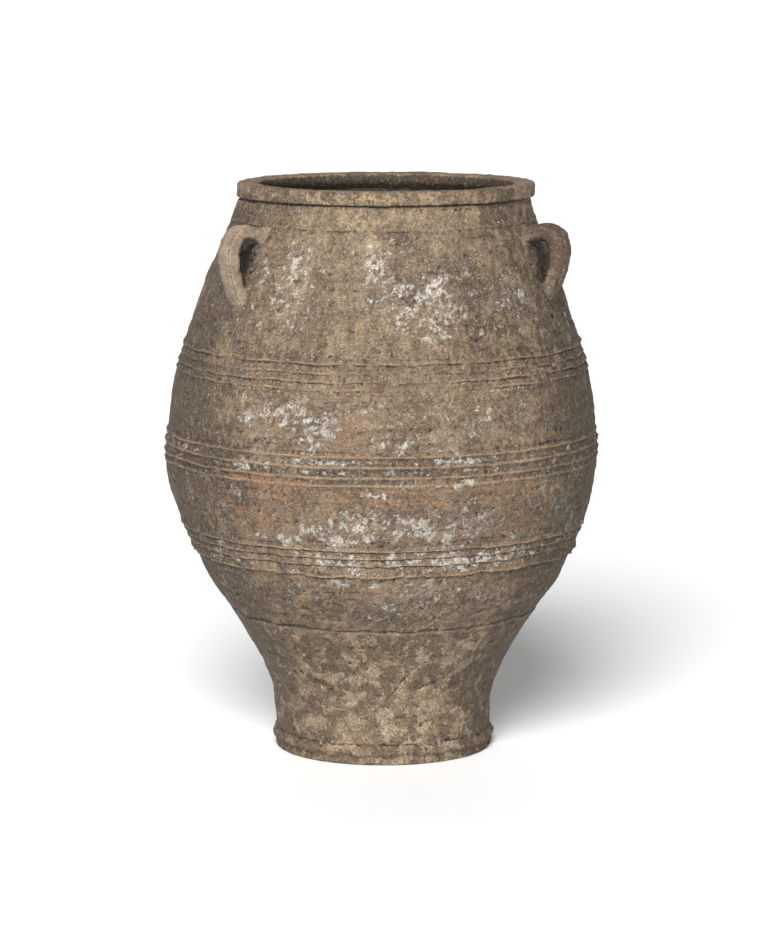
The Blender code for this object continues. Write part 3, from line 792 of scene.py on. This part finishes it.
class Graph:
    """A material being wired up. Sockets are passed about; plain numbers are set in place."""

    def __init__(self, name):
        self.material = bpy.data.materials.new(name)
        self.material.use_nodes = True
        self.tree = self.material.node_tree
        self.shader = self.tree.nodes["Principled BSDF"]
        self.place = self.tree.nodes.new("ShaderNodeTexCoord").outputs["Object"]

    def add(self, kind, inputs, output=0, **settings):
        node = self.tree.nodes.new(kind)
        for key, value in settings.items():
            setattr(node, key, value)
        for key, value in inputs.items():
            self.feed(node.inputs[key], value)
        return node.outputs[output]

    def feed(self, socket, value):
        if isinstance(value, bpy.types.NodeSocket):
            self.tree.links.new(value, socket)
        elif value is not None:
            if isinstance(value, tuple) and len(value) == 3 and socket.type == "RGBA":
                value = (*value, 1.0)
            socket.default_value = value

    def math(self, operation, a, b=None, c=None, clamp=False):
        inputs = {0: a, 1: b, 2: c}
        return self.add("ShaderNodeMath", inputs, operation=operation, use_clamp=clamp)

    def mix(self, factor, a, b, blend="MIX"):
        return self.add(
            "ShaderNodeMix", {"Factor": factor, 6: a, 7: b}, output=2, data_type="RGBA", blend_type=blend
        )

    def ramp(self, value, low, high, start=0.0, end=1.0, kind="SMOOTHSTEP"):
        return self.add(
            "ShaderNodeMapRange",
            {"Value": value, "From Min": low, "From Max": high, "To Min": start, "To Max": end},
            interpolation_type=kind,
        )

    def layer(self, colour, over, value, low, high, most):
        """Lays a colour over another one where the value goes from low to high."""
        return self.mix(self.ramp(value, low, high, 0.0, most), colour, over)

    def noise(self, size, detail=3.0, roughness=0.55, seed=0, stretch=(1, 1, 1), distortion=0.0):
        scale = tuple(1 / (size * s) for s in stretch)
        spots = self.add(
            "ShaderNodeVectorMath", {0: self.place, 1: scale, 2: (3.1 * seed, 7.7 * seed, 1.9 * seed)},
            operation="MULTIPLY_ADD",
        )
        return self.add(
            "ShaderNodeTexNoise",
            {"Vector": spots, "Scale": 1.0, "Detail": detail, "Roughness": roughness,
             "Distortion": distortion},
        )

    def attribute(self, name):
        colour = self.add("ShaderNodeAttribute", {}, attribute_name=name)
        node = self.tree.nodes.new("ShaderNodeSeparateColor")
        self.tree.links.new(colour, node.inputs[0])
        return node.outputs[:3]


LIME_COLOUR = (0.440, 0.400, 0.345)
RAW_COLOUR = (0.228, 0.133, 0.078)
OCHRE_COLOUR = (0.322, 0.235, 0.144)
RUST_COLOUR = (0.128, 0.080, 0.049)
SOOT_AND_SHADE_COLOUR = (0.052, 0.037, 0.026)
GRIT_COLOUR = (0.345, 0.278, 0.200)
PIT_COLOUR = (0.042, 0.030, 0.021)
PLATE_COLOUR = (0.096, 0.070, 0.047)
GRAIN_DEPTH = 0.42


def clay_material(
    name, pale, deep, lime_gain=1.0, dark_gain=1.0, streaks=(7, 7, 1), grain_gain=1.0,
    ochre_colour=OCHRE_COLOUR, plates=0.0,
):
    """Weathered terracotta. Pale and deep are the two colours that its surface wanders between."""
    g = Graph(name)
    # Dark also carries painted shade at the sides and inside; the middle value of the stain layer is painted
    # shade
    lime, raw, dark = g.attribute("crust")
    ochre, painted_shade, rust = g.attribute("stain")

    broad = g.noise(0.055, 4, 0.6, 1)
    mottle = g.noise(0.0125, 5, 0.68, 2)
    streak = g.noise(0.0075, 3, 0.6, 3, stretch=streaks)
    grain = g.noise(0.0036, 3, 0.8, 4)
    grit = g.noise(0.0021, 2, 0.7, 5)
    crumb = g.noise(0.0036, 3, 0.74, 7, distortion=1.1)
    clump = g.noise(0.0080, 4, 0.74, 6, distortion=0.5)

    # The fired clay itself
    wander = g.math("MULTIPLY_ADD", broad, 0.35, g.math("MULTIPLY", streak, 0.22))
    wander = g.math("MULTIPLY_ADD", mottle, 0.55, wander)
    colour = g.mix(g.ramp(wander, 0.45, 0.67), deep, pale)
    colour = g.layer(colour, RUST_COLOUR, g.math("MULTIPLY_ADD", mottle, 0.55, rust), 0.36, 0.86, 0.85)
    colour = g.layer(colour, ochre_colour, g.math("MULTIPLY_ADD", clump, 0.8, ochre), 0.58, 0.96, 0.85)
    # Soot and dark stains, with the painted shade at the sides and inside that the dark value also carries
    gloom = g.math("MULTIPLY_ADD", clump, 0.9, g.math("MULTIPLY", dark, dark_gain))
    colour = g.layer(colour, SOOT_AND_SHADE_COLOUR, gloom, 0.50, 1.05, 0.72)
    colour = g.layer(colour, SOOT_AND_SHADE_COLOUR, gloom, 0.66, 0.76, 0.34)
    colour = g.layer(colour, RAW_COLOUR, g.math("MULTIPLY_ADD", clump, 0.65, raw), 0.46, 0.92, 0.84)

    # The lime that breaks up into flecks, and a thin film of it between them
    cover = g.math("MULTIPLY", lime, lime_gain)
    colour = g.layer(colour, LIME_COLOUR, g.math("MULTIPLY_ADD", mottle, 0.5, cover), 0.36, 0.95, 0.42)
    broken = g.math("MULTIPLY_ADD", crumb, 0.58, g.math("MULTIPLY", cover, 0.42))
    broken = g.math("MULTIPLY_ADD", clump, 0.42, broken)
    lime_part = g.ramp(broken, 0.645, 0.690, 0.0, 0.86)
    colour = g.mix(lime_part, colour, LIME_COLOUR)

    # Specks of pale grit and small dark pits
    peck = g.noise(0.0033, 2, 0.6, 8)
    colour = g.layer(colour, GRIT_COLOUR, peck, 0.615, 0.665, 0.62 * grain_gain)
    colour = g.layer(colour, PIT_COLOUR, peck, 0.400, 0.350, 0.58 * grain_gain)
    if plates:
        crust = g.noise(0.021, 6, 0.68, 9, distortion=0.4)
        flaked = g.math("MULTIPLY_ADD", dark, 0.22, crust)
        colour = g.layer(colour, PLATE_COLOUR, flaked, 0.535, 0.560, plates)

    # Grain in every colour, painted shade in the hollows and a rub on the crests
    swing = GRAIN_DEPTH * grain_gain
    coarse, fine = (g.ramp(n, 0.30, 0.70, 1 - swing, 1 + swing, "LINEAR") for n in (grain, grit))
    painted_shade_factor = g.ramp(painted_shade, 0.56, 0.98, 1.0, 0.22)
    shade = g.math("MULTIPLY", g.math("MULTIPLY", coarse, fine), painted_shade_factor)
    shade = g.add("ShaderNodeCombineColor", {0: shade, 1: shade, 2: shade})
    colour = g.mix(1.0, colour, shade, "MULTIPLY")
    colour = g.layer(colour, ochre_colour, painted_shade, 0.44, 0.10, 0.30)
    g.feed(g.shader.inputs["Base Color"], colour)

    rough = g.ramp(mottle, 0.35, 0.65, 0.74, 0.92)
    g.feed(g.shader.inputs["Roughness"], g.math("MAXIMUM", rough, g.math("MULTIPLY", lime_part, 0.98)))
    g.feed(g.shader.inputs["Specular IOR Level"], 0.30)

    relief = g.math("MULTIPLY_ADD", mottle, 0.9, g.math("MULTIPLY", grain, 0.50))
    relief = g.math("MULTIPLY_ADD", lime_part, 0.30, relief)
    relief = g.math("MULTIPLY_ADD", grit, 0.20, relief)
    bump = g.add("ShaderNodeBump", {"Strength": 0.85, "Distance": 0.0016, "Height": relief})
    g.feed(g.shader.inputs["Normal"], bump)
    return g.material


def metal_material(name, colour, roughness, tarnish):
    """Drawn or cast metal with a cloudy tarnish and fine scratches along it."""
    g = Graph(name)
    cloud = g.noise(0.0025, 4, 0.6, 1)
    scratch = g.noise(0.0008, 3, 0.6, 2, stretch=(1, 1, 6))
    stain = g.ramp(cloud, 0.45, 0.66)
    g.feed(g.shader.inputs["Base Color"], g.mix(stain, colour, tarnish))
    g.feed(g.shader.inputs["Roughness"], g.ramp(scratch, 0.35, 0.65, roughness - 0.08, roughness + 0.14))
    g.feed(g.shader.inputs["Metallic"], 1.0)
    bump = g.add("ShaderNodeBump", {"Strength": 0.35, "Distance": 0.0002, "Height": scratch})
    g.feed(g.shader.inputs["Normal"], bump)
    return g.material


foot_clay = clay_material(
    "foot_clay", (0.248, 0.184, 0.122), (0.106, 0.074, 0.047), grain_gain=1.1,
    ochre_colour=(0.288, 0.216, 0.146), plates=0.62,
)
belly_clay = clay_material("belly_clay", (0.218, 0.159, 0.107), (0.102, 0.070, 0.046), plates=0.22)
shoulder_clay = clay_material(
    "shoulder_clay", (0.230, 0.171, 0.115), (0.118, 0.083, 0.054), streaks=(1, 1, 6))
rim_clay = clay_material("rim_clay", (0.250, 0.180, 0.120), (0.120, 0.082, 0.054), 0.75)
ridge_clay = clay_material("ridge_clay", (0.222, 0.162, 0.109), (0.104, 0.072, 0.047))
handle_clays = {
    "handle_left": clay_material(
        "left_handle_clay", (0.295, 0.232, 0.170), (0.200, 0.153, 0.108), 0.5, 0.3, (1, 1, 5), 0.55),
    "handle_right": clay_material(
        "right_handle_clay", (0.200, 0.146, 0.100), (0.092, 0.062, 0.042), 0.8, 0.7, (1, 1, 5), 0.75),
    "handle_back": clay_material(
        "back_handle_clay", (0.235, 0.182, 0.130), (0.125, 0.093, 0.065), 0.7, 0.6, (1, 1, 5), 0.7),
}
wire_metal = metal_material("wire_metal", (0.15, 0.15, 0.155), 0.45, (0.07, 0.06, 0.052))
crimp_metal = metal_material("crimp_metal", (0.26, 0.265, 0.275), 0.34, (0.08, 0.08, 0.082))

# ---------------------------------------------------------------- the wall, piece by piece

SECTIONS = {  # the bottom and top joint of each thrown section, and the strips pressed over them
    "foot_wall": (FOOT_TOP, FOOT_JOINT, None, None, foot_clay, "foot_clay"),
    "lower_belly": (FOOT_JOINT, BELLY_JOINTS[0], None, "band_lower", belly_clay, "belly_clay"),
    "mid_belly": (BELLY_JOINTS[0], BELLY_JOINTS[1], "band_lower", "band_middle", belly_clay, "belly_clay"),
    "upper_belly": (BELLY_JOINTS[1], BELLY_JOINTS[2], "band_middle", "band_upper", belly_clay, "belly_clay"),
    "shoulder": (BELLY_JOINTS[2], SHOULDER_JOINT, "band_upper", None, shoulder_clay, "shoulder_clay"),
    "neck": (SHOULDER_JOINT, NECK_TOP, None, None, shoulder_clay, "shoulder_clay"),
}
PLAIN_FIELDS = np.full((1, COLUMNS, 6), 0.3, np.float32)
for name, (bottom, top, under, over, material, slot) in SECTIONS.items():
    low = BANDS[under][1] if under else bottom
    high = BANDS[over][0] if over else top
    first, last = row_at(low), row_at(high)
    rings, fields = [outside[first:last + 1]], [weathered[first:last + 1]]
    if under:
        rings = [seat_ring(bottom), seat_ring(low)] + rings
        fields = [PLAIN_FIELDS, PLAIN_FIELDS] + fields
    if over:
        rings += [seat_ring(high), seat_ring(top)]
        fields += [PLAIN_FIELDS, PLAIN_FIELDS]
    count = sum(r.shape[0] for r in rings)
    a, b = inner_at(bottom), inner_at(top)
    flats = {count - 1, count + b - a}
    if under:
        flats |= {0, 1}
    if over:
        flats |= {count - 3, count - 2}
    rings.append(inside_points[a:b + 1][::-1])
    fields.append(inside_fields[a:b + 1][::-1])
    build(name, rings, fields, flats, material)

for name, (low, high) in BANDS.items():
    first, last = row_at(low), row_at(high)
    rings = [outside[first:last + 1]] + [seat_ring(height, GAP) for height in (high, (low + high) / 2, low)]
    fields = [weathered[first:last + 1]] + [PLAIN_FIELDS] * 3
    count = last - first + 1
    build(name, rings, fields, set(range(count - 1, count + 3)), ridge_clay)

first = row_at(NECK_TOP)
build("rim", [outside[first:]], [weathered[first:]], {rim_end - first}, rim_clay)

count = row_at(FOOT_TOP) + 1
inner_foot = settle(turn_out(np.array([
    [wall_radius(FOOT_TOP) - WALL_THICKNESS, FOOT_TOP],
    [BASE_RADIUS + GAP, FOOT_TOP - 0.004],
    [BASE_RADIUS + GAP, 0.0006],
])))
inner_foot[0] = inside_points[0]
foot_fields = np.repeat(inside_fields[:1], 3, axis=0)
build("foot_ring", [outside[:count], inner_foot], [weathered[:count], foot_fields],
      set(range(count - 1, count + 3)), foot_clay)


def base_slab():
    """The floor of the jar: a slab with a spiral left by the fingers, chamfered round its edge."""
    radii = np.concatenate([[0.002], np.linspace(0.006, BASE_RADIUS - 0.003, 40), [BASE_RADIUS]])
    top = np.stack([radii, np.full(len(radii), BASE_THICKNESS)], axis=1)
    top[-1, 1] -= 0.003
    edge = [[BASE_RADIUS, 0.002], [BASE_RADIUS - 0.003, 0.0004]]
    under = np.array(edge + [[radius, 0.0006] for radius in (0.10, 0.05, 0.002)])
    line = np.concatenate([top, under])
    spots = turn_out(line)
    turn = np.arctan2(spots[..., 1], spots[..., 0])
    relief = np.sin(2 * np.pi * line[:, :1] / 0.021 + turn) * 0.0009 + 0.0006 * fractal(spots, 0.04, 71, 3)
    relief[len(top):] *= 0.25
    spots[..., 2] = np.clip(spots[..., 2] + relief * (line[:, :1] > 0.004), 0.0, None)
    # The floor of the jar takes the inside's full painted shade, its underside 0.35 of it
    dim = np.ones(relief.shape)
    dim[len(top):] = 0.35
    fields = weather(spots, 0 * relief, 0.5 + 0 * relief, inside=dim)
    build("base_disc", [settle(spots)[::-1]], [fields[::-1]], set(), foot_clay)


base_slab()

# ---------------------------------------------------------------- handles


def smooth_line(points, count):
    """Points at even steps along the smooth curve through the given ones."""
    points = np.array(points)
    along = distances(points)
    places = np.linspace(0, along[-1], count)
    return np.stack([hermite(np.stack([along, column], axis=1), places) for column in points.T], axis=1)


def outward(azimuth_degrees):
    """Turns a shape made along +X to an azimuth counted from the front."""
    turn = math.radians(azimuth_degrees - 90)
    return np.array([[math.cos(turn), math.sin(turn), 0], [-math.sin(turn), math.cos(turn), 0], [0, 0, 1]])


def handle(name):
    """A strap swept along its line, with its ends smoothed on to the wall."""
    centre, width, squareness, arch, foot = HANDLES[name]
    stations, around = ((150, 84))
    line = smooth_line(STRAP_LINE, stations)
    part = np.linspace(0, 1, stations)
    line[:, 1] += arch * np.exp(-(((part - 0.28) / 0.20) ** 2)) + foot * step(part, 0.45, 0.85)
    line[:, 1] += 0.0075 * (1 - step(part, 0.0, 0.24))
    along = directions(line)
    square = np.stack([-along[:, 1], along[:, 0]], axis=1)
    from_middle = np.abs(2 * part - 1)
    wide = width * (1 + 0.25 * from_middle**4)
    halves = np.array(STRAP_HALVES[name])
    outer_half, inner_half = (hermite(halves[:, (0, i)], part)[:, None] for i in (1, 2))
    t = np.linspace(0, 2 * np.pi, around, endpoint=False)
    power = 2 / squareness
    side, out = squared_off(np.cos(t), power) / 2, squared_off(np.sin(t), power) / 2
    spots = np.empty((stations, around, 3))
    lift = 2 * out * np.where(out > 0, outer_half, inner_half)
    spots[..., 0] = line[:, :1] + lift * square[:, :1]
    spots[..., 1] = wide[:, None] * side
    spots[..., 2] = line[:, 1:] + lift * square[:, 1:]

    # The clay spreads where it meets the wall, as if smoothed on with a thumb
    height = np.clip(spots[..., 2], 0.75, NECK_TOP)
    off_wall = np.hypot(spots[..., 0], spots[..., 1]) - wall_radius(height)
    off_wall /= np.hypot(1, wall_slope(height))
    near = np.clip(1 - off_wall / 0.013, 0, 1.25) ** 2.2
    spread = near * (0.0048 + 0.0014 * np.sin(3 * t + centre))
    spots[..., 1] += spread * np.sign(side) * np.minimum(1, np.abs(side) * 2.6)
    towards = np.where(part < 0.5, 1.0, -1.0)[:, None]
    push = np.where(out > 0, 0.8, -0.5) * np.clip(2.2 * np.abs(out), 0, 1)
    spots[..., 2] += spread * towards * push

    world = spots @ outward(centre)
    facing = np.cross(np.roll(spots, -1, 1) - np.roll(spots, 1, 1), np.gradient(spots, axis=0))
    facing /= np.maximum(np.linalg.norm(facing, axis=2, keepdims=True), 1e-9)
    if np.sum(facing[stations // 2, :, 0] * out) < 0:
        facing = -facing
    bumps = 0.00050 * fractal(world, 0.024, 81, 3) + 0.00012 * fractal(world, 0.007, 82, 3)
    crease_at = {"handle_left": 0.25, "handle_right": 0.75, "handle_back": 0.25}[name]
    corner = np.abs(((t / np.pi - crease_at + 1) % 2) - 1)
    bumps -= 0.0007 * np.exp(-((corner / 0.05) ** 2)) * step(from_middle, 1.0, 0.8)[:, None]
    chip = np.zeros_like(bumps)
    if name == "handle_left":
        chip = np.exp(-(((part[:, None] - 0.40) / 0.028) ** 2) - ((corner - 0.03) / 0.07) ** 2)
        chip = np.maximum(chip, np.exp(-(((part[:, None] - 0.47) / 0.016) ** 2) - (corner / 0.06) ** 2))
        bumps -= 0.0011 * chip * (1 + 0.4 * fractal(world, 0.004, 84, 2))
        pit = np.exp(-((((part[:, None] - 0.735) / 0.010) ** 2 + ((corner - 0.10) / 0.035) ** 2) ** 1.5))
        bumps -= 0.0022 * pit
    bumps -= 0.0006 * step(fractal(world, 0.014, 85, 3), 1.8, 2.6)
    spots = spots + facing * bumps[..., None]
    world = settle(spots @ outward(centre))

    # Painted shade in the strap's hollows, along its underside and along its crease
    painted_shade = np.clip(0.5 + (blurred(bumps, 4) - bumps) * PAINTED_SHADE_GAINS["strap"], 0, 1)
    under = step(-out, 0.1, 0.45)[None, :] * step(from_middle, 1.0, 0.5)[:, None]
    crease_shade = np.exp(-((corner / 0.045) ** 2)) * step(from_middle, 1.0, 0.8)[:, None]
    painted_shade = np.clip(painted_shade + 0.34 * under + 0.24 * crease_shade, 0, 1)
    fields = weather(world, 0.5 * chip, painted_shade)
    fields[..., 1] = np.clip(fields[..., 1] + 1.1 * chip, 0, 1)
    fields[..., 0] *= 0.75  # less lime than on the shoulder
    faces = capped_faces(stations, around)
    smooth = np.arange(len(faces)) < (stations - 1) * around
    new_object(
        name + "_clay", world.reshape(-1, 3), faces, smooth, fields.reshape(-1, 6), handle_clays[name],
        "jar", (name,),
    )


for name in HANDLES:
    handle(name)

# ---------------------------------------------------------------- the sealing wire

WIRE_DIAMETER = 0.0016
WIRE_KINK = 0.00012
WIRE_SIDES = 16
PIVOT = (0.0, 0.0025, 0.809)  # (across, lift, height) on the shoulder behind the right handle
CRIMP_CENTRE = (0.017, 0.0085, 0.744)
CRIMP_LENGTH = 0.0095
CRIMP_WIDTH = 0.0070
CRIMP_DEPTH = 0.0050
CRIMP_TILT = 30.0
STRAND_SPACING = 0.0030
FRONT_STRAND = (  # each place is (across, lift, height), as for the pivot
    (-0.004, 0.0065, 0.7575), (-0.022, 0.0050, 0.7740), (-0.028, 0.0040, 0.7900), (-0.027, 0.0030, 0.8000),
)
BEHIND_STRAP = ((-0.018, 0.0025, 0.808), PIVOT, (0.018, 0.0025, 0.808))
BACK_STRAND = ((0.025, 0.0060, 0.7990), (0.027, 0.0115, 0.7880), (0.026, 0.0110, 0.7620))
TAIL = ((0.0200, 0.0085, 0.7310), (0.0185, 0.0100, 0.7220))


def on_shoulder(across, lift, height):
    """A place on the shoulder in the right handle's frame: across it, lifted off the wall, at a height."""
    radius = float(wall_radius(height)) + lift
    turn = across / radius
    return Vector((radius * math.cos(turn), radius * math.sin(turn), height))


def crimp_frame():
    centre = on_shoulder(*CRIMP_CENTRE)
    turn = Matrix.Rotation(math.atan2(centre.y, centre.x), 4, "Z")
    tilt = Matrix.Rotation(math.radians(CRIMP_TILT), 4, "X")
    return Matrix.Translation(centre) @ turn @ tilt


RIGHT = Matrix.Rotation(math.radians(HANDLES["handle_right"][0] - 90), 4, "Z")


def metal_piece(name, rings, node, material):
    """A swept metal shape that rides on the seal. Rings are n x around x 3, in the handle's frame."""
    count, around = len(rings), len(rings[0])
    points = np.concatenate(rings) @ np.array(RIGHT.to_3x3()).T
    faces = capped_faces(count, around)
    smooth = np.ones(len(faces), bool)
    obj = new_object(name, points, faces, smooth, None, material, "seal", (node,))
    bm = bmesh.new()
    bm.from_mesh(obj.data)
    bmesh.ops.recalc_face_normals(bm, faces=bm.faces)
    bm.to_mesh(obj.data)
    bm.free()


def tube(name, route, node):
    """A drawn wire swept along a smooth route, slightly kinked, with rounded ends."""
    radius = WIRE_DIAMETER / 2
    length = sum((b - a).length for a, b in zip(route, route[1:]))
    line = smooth_line([tuple(p) for p in route], round(length / 0.0011) + 1)
    wobble = np.stack([fractal(line, 0.009, 90 + i, 2) for i in range(3)], axis=1)
    ends = np.minimum(np.arange(len(line)), np.arange(len(line))[::-1])
    line = line + WIRE_KINK * wobble * np.clip(ends / 8, 0, 1)[:, None]
    along = directions(line)
    side = np.cross(along[0], (0.0, 0.0, 1.0))
    sides = []
    for direction in along:
        side = side - direction * np.dot(side, direction)
        side /= np.linalg.norm(side)
        sides.append(side)
    ups = np.cross(along, sides)
    t = np.linspace(0, 2 * np.pi, WIRE_SIDES, endpoint=False)[:, None]
    rings = [p + radius * (np.cos(t) * s + np.sin(t) * u) for p, s, u in zip(line, sides, ups)]
    tips = [line[end] + sign * along[end] * radius * 0.35 + 0.6 * (rings[end] - line[end])
            for end, sign in ((0, -1), (-1, 1))]
    metal_piece(name, [tips[0], *rings, tips[1]], node, wire_metal)


def seal():
    """The loop of wire, the sleeve that is crimped on its ends, and the cut end below it."""
    place = crimp_frame()
    mouth = CRIMP_LENGTH / 2 - 0.0010
    straight = mouth + 0.0010 + 2 * WIRE_DIAMETER
    front = [place @ Vector((0, -STRAND_SPACING / 2, z)) for z in (mouth, straight)]
    back = [place @ Vector((0, STRAND_SPACING / 2, z)) for z in (straight, mouth)]
    over = [on_shoulder(*spot) for spot in FRONT_STRAND + BEHIND_STRAP + BACK_STRAND]
    tube("seal_wire_loop", front + over + back, "seal_wire")
    start = [place @ Vector((0, 0, -z)) for z in (mouth, straight)]
    end = [on_shoulder(*spot) for spot in TAIL]
    tube("seal_tail_wire", start + end, "seal_tail")

    # The sleeve: an oval tube squeezed in the middle by the pliers, with rolled mouths
    around, count = 56, 34
    t = np.linspace(0, 2 * np.pi, around, endpoint=False)
    rows = []
    for i in range(count):
        u = i / (count - 1) * 2 - 1
        rolled = 1 - 0.16 * abs(u) ** 10
        waist = 1 - 0.10 * math.exp(-((u / 0.33) ** 2)) + 0.03 * math.cos(7 * u)
        jaw = 0.06 * math.cos(9 * math.pi * u) * math.exp(-((u / 0.6) ** 4))
        x = CRIMP_DEPTH / 2 * rolled * (waist - jaw) * squared_off(np.cos(t), 0.8)
        y = CRIMP_WIDTH / 2 * rolled * (1 + 0.05 * (1 - waist)) * squared_off(np.sin(t), 0.9)
        rows.append(np.stack([x, y, np.full(around, u * CRIMP_LENGTH / 2)], axis=1))
    for scale, depth in ((0.72, 0.0), (0.62, 0.0010)):
        rows.insert(0, rows[0] * (scale, scale, 1) + (0, 0, depth))
        rows.append(rows[-1] * (scale, scale, 1) - (0, 0, depth))
    matrix = np.array(place)
    rings = [ring @ matrix[:3, :3].T + matrix[:3, 3] for ring in rows]
    metal_piece("seal_crimp_sleeve", rings, "seal_crimp", crimp_metal)


seal()

# ---------------------------------------------------------------- floor

FLOOR_RADIUS, FLOOR_SIDES = 80, 64
floor_mesh = bpy.data.meshes.new("floor")
corners = [(FLOOR_RADIUS * math.cos(a), FLOOR_RADIUS * math.sin(a), 0.0)
           for a in np.linspace(0, 2 * np.pi, FLOOR_SIDES, endpoint=False)]
floor_mesh.from_pydata(corners, [], [tuple(range(FLOOR_SIDES))])
floor = bpy.data.objects.new("floor", floor_mesh)
scene.collection.objects.link(floor)
paper = bpy.data.materials.new("studio_floor")
paper.use_nodes = True
shader = paper.node_tree.nodes["Principled BSDF"]
for socket, value in (("Base Color", (0.94, 0.94, 0.94, 1)), ("Roughness", 0.9), ("Specular IOR Level", 0.1)):
    shader.inputs[socket].default_value = value
floor_mesh.materials.append(paper)
